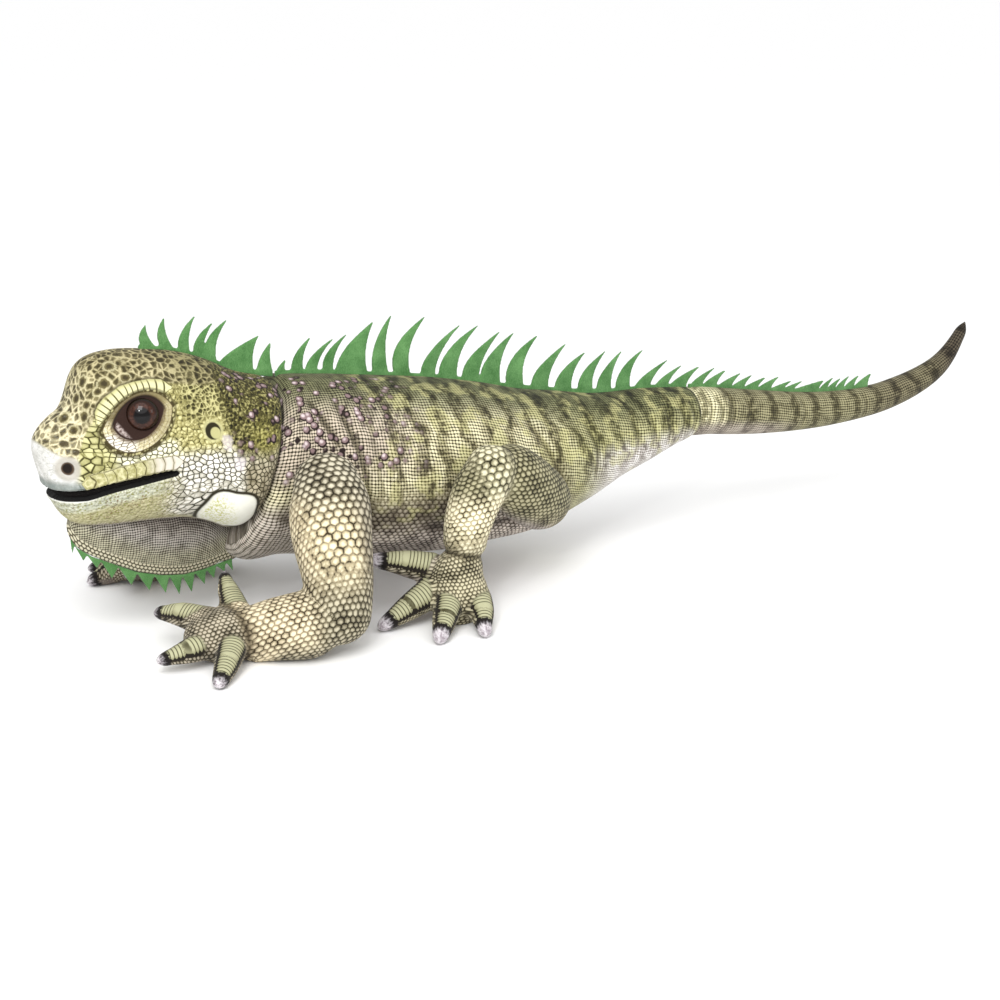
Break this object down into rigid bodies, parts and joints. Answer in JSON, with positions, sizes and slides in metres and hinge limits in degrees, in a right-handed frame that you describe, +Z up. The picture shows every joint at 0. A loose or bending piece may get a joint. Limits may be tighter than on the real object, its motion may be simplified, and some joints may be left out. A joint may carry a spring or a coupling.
{
  "type": "stuffed toy iguana",
  "caption": "Stuffed toy green iguana lying on its bent arms: printed plush body, felt spine crest, dewlap with a felt fringe, plastic eyes and a long tail curving up.",
  "frame": {"origin": "on the floor, under the middle of the whole toy's box", "axes": "+Z up; the head points along -X and the tail along +X; the toy's left side is towards -Y"},
  "size_m": [0.9428, 0.3126, 0.2448],
  "materials": {
    "body_plush": "short-pile plush, printed with cream, olive and yellow-green reptile scales",
    "tail_plush": "short-pile plush, printed with olive and cream cross bands",
    "limb_plush": "short-pile plush, printed with cream and yellow scales in dark outlines",
    "dewlap_plush": "short-pile plush, printed with a grey-pink net of small scales",
    "green_felt": "cut green felt with a slightly fuzzy face",
    "black_felt": "black felt",
    "eye_plastic": "clear glossy dome over a brown iris and a black pupil"
  },
  "bodies": {
    "root": {"head": "body_plush", "neck": "body_plush", "trunk": "body_plush", "tail_base": "tail_plush", "tail_middle": "tail_plush", "tail_tip": "tail_plush", "dewlap": "dewlap_plush", "dewlap_fringe": "green_felt", "crest_head": "green_felt", "crest_back": "green_felt", "crest_tail": "green_felt", "mouth_lining": "black_felt", "eye_left": "eye_plastic", "eye_right": "eye_plastic", "left_upper_arm": "limb_plush", "left_forearm": "limb_plush", "left_hand": "limb_plush", "left_finger_1": "limb_plush", "left_finger_2": "limb_plush", "left_finger_3": "limb_plush", "left_finger_4": "limb_plush", "left_thigh": "limb_plush", "left_shin": "limb_plush", "left_foot": "limb_plush", "left_toe_1": "limb_plush", "left_toe_2": "limb_plush", "left_toe_3": "limb_plush", "left_toe_4": "limb_plush", "right_upper_arm": "limb_plush", "right_forearm": "limb_plush", "right_hand": "limb_plush", "right_finger_1": "limb_plush", "right_finger_2": "limb_plush", "right_finger_3": "limb_plush", "right_finger_4": "limb_plush", "right_thigh": "limb_plush", "right_shin": "limb_plush", "right_foot": "limb_plush", "right_toe_1": "limb_plush", "right_toe_2": "limb_plush", "right_toe_3": "limb_plush", "right_toe_4": "limb_plush"}
  },
  "joints": []
}
